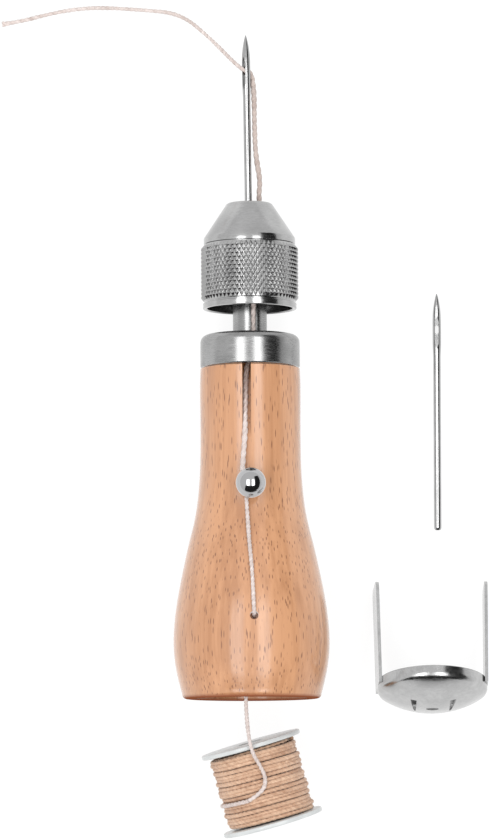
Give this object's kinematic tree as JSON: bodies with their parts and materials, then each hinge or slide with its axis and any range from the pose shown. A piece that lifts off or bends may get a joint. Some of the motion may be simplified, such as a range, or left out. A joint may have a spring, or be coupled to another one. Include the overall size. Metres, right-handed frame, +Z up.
{
  "type": "sewing awl",
  "caption": "Lock-stitch sewing awl laid out for use: turned bulb handle, knurled needle chuck, tension stud, thread bobbin, capped base and spare needle.",
  "frame": {"origin": "centre of the laid-out awl, cap and spare needle, on the table they lie on", "axes": "+Z up from the table; +Y along the awl from its base towards the needle tip; +X towards the end cap and the spare needle"},
  "size_m": [0.1149, 0.1982, 0.0368],
  "materials": {
    "beech": "clear lacquer over turned beech",
    "nickel": "satin nickel plate",
    "chrome": "polished",
    "knurled_steel": "satin, turned and knurled",
    "needle_steel": "satin nickel plated carbon steel",
    "stamped_steel": "satin stamped sheet",
    "bobbin_plastic": "translucent white moulding",
    "waxed_thread": "waxed twisted thread",
    "wound_thread": "waxed twisted thread, wound"
  },
  "bodies": {
    "awl": {"handle": "beech", "ferrule": "nickel", "tension_stud": "chrome", "chuck_post": "nickel", "thread_lower_run": "waxed_thread", "thread_stud_wrap": "waxed_thread", "thread_upper_run": "waxed_thread"},
    "collet": {"collet_jaw_upper": "knurled_steel", "collet_jaw_lower": "knurled_steel"},
    "chuck": {"chuck_cap": "knurled_steel"},
    "needle": {"needle": "needle_steel", "thread_needle_run": "waxed_thread", "thread_tail": "waxed_thread"},
    "lead": {"thread_lead": "wound_thread"},
    "bobbin": {"bobbin_spool": "bobbin_plastic", "thread_winding": "wound_thread"},
    "end_cap": {"end_cap_shell": "stamped_steel", "end_cap_prong_left": "stamped_steel", "end_cap_prong_right": "stamped_steel"},
    "spare": {"spare_needle": "needle_steel"}
  },
  "joints": [
    {"name": "chuck_travel", "type": "slide", "parent": "awl", "child": "collet", "axis": [0, 0.9972, -0.0751], "range_m": [0, 0.004]},
    {"name": "chuck_turn", "type": "hinge", "parent": "collet", "child": "chuck", "pos_m": [-0.01886, 0.0378, 0.01194], "axis": [0, 0.9972, -0.0751], "range_deg": [0, 1444]},
    {"name": "needle_pull", "type": "slide", "parent": "collet", "child": "needle", "axis": [-0.0117, 0.9971, -0.0751], "range_m": [0, 0.017]},
    {"name": "bobbin_pull", "type": "slide", "parent": "awl", "child": "lead", "axis": [0, -1, 0], "range_m": [0, 0.012]},
    {"name": "bobbin_spin", "type": "hinge", "parent": "lead", "child": "bobbin", "pos_m": [-0.01661, -0.08222, 0.01202], "axis": [-0.2706, 0.9627, 0], "continuous": true},
    {"name": "cap_lift", "type": "slide", "parent": "awl", "child": "end_cap", "axis": [0, 0, 1], "range_m": [0, 0.05]},
    {"name": "spare_needle_lift", "type": "slide", "parent": "awl", "child": "spare", "axis": [0, 0, 1], "range_m": [0, 0.05]}
  ],
  "couplings": [
    {"joint": "chuck_turn", "follows": "chuck_travel", "rad_per_m": 6283.2}
  ]
}
